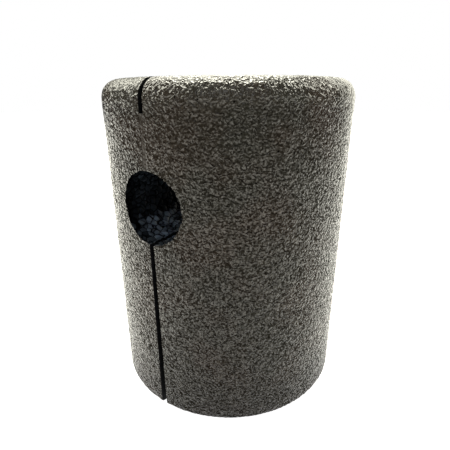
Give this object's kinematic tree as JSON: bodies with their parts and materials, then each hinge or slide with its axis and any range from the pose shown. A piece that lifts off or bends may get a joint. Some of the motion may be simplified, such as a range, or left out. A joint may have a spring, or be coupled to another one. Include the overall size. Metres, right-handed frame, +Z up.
{
  "type": "valve insulation shell",
  "caption": "Round moulded foam shell that insulates a valve: pocket open at the base, pipe passage through the sides with slits below it, and a flex groove across the top.",
  "frame": {"origin": "centre of the base, on the surface that the shell stands on", "axes": "+Z up along the shell's own axis, towards the closed top; Y along the pipe passage; X across the slits"},
  "size_m": [0.12, 0.12, 0.154],
  "materials": {
    "bead_foam": "matte, moulded from fused foam beads"
  },
  "bodies": {
    "root": {"insulation_shell": "bead_foam"}
  },
  "joints": []
}
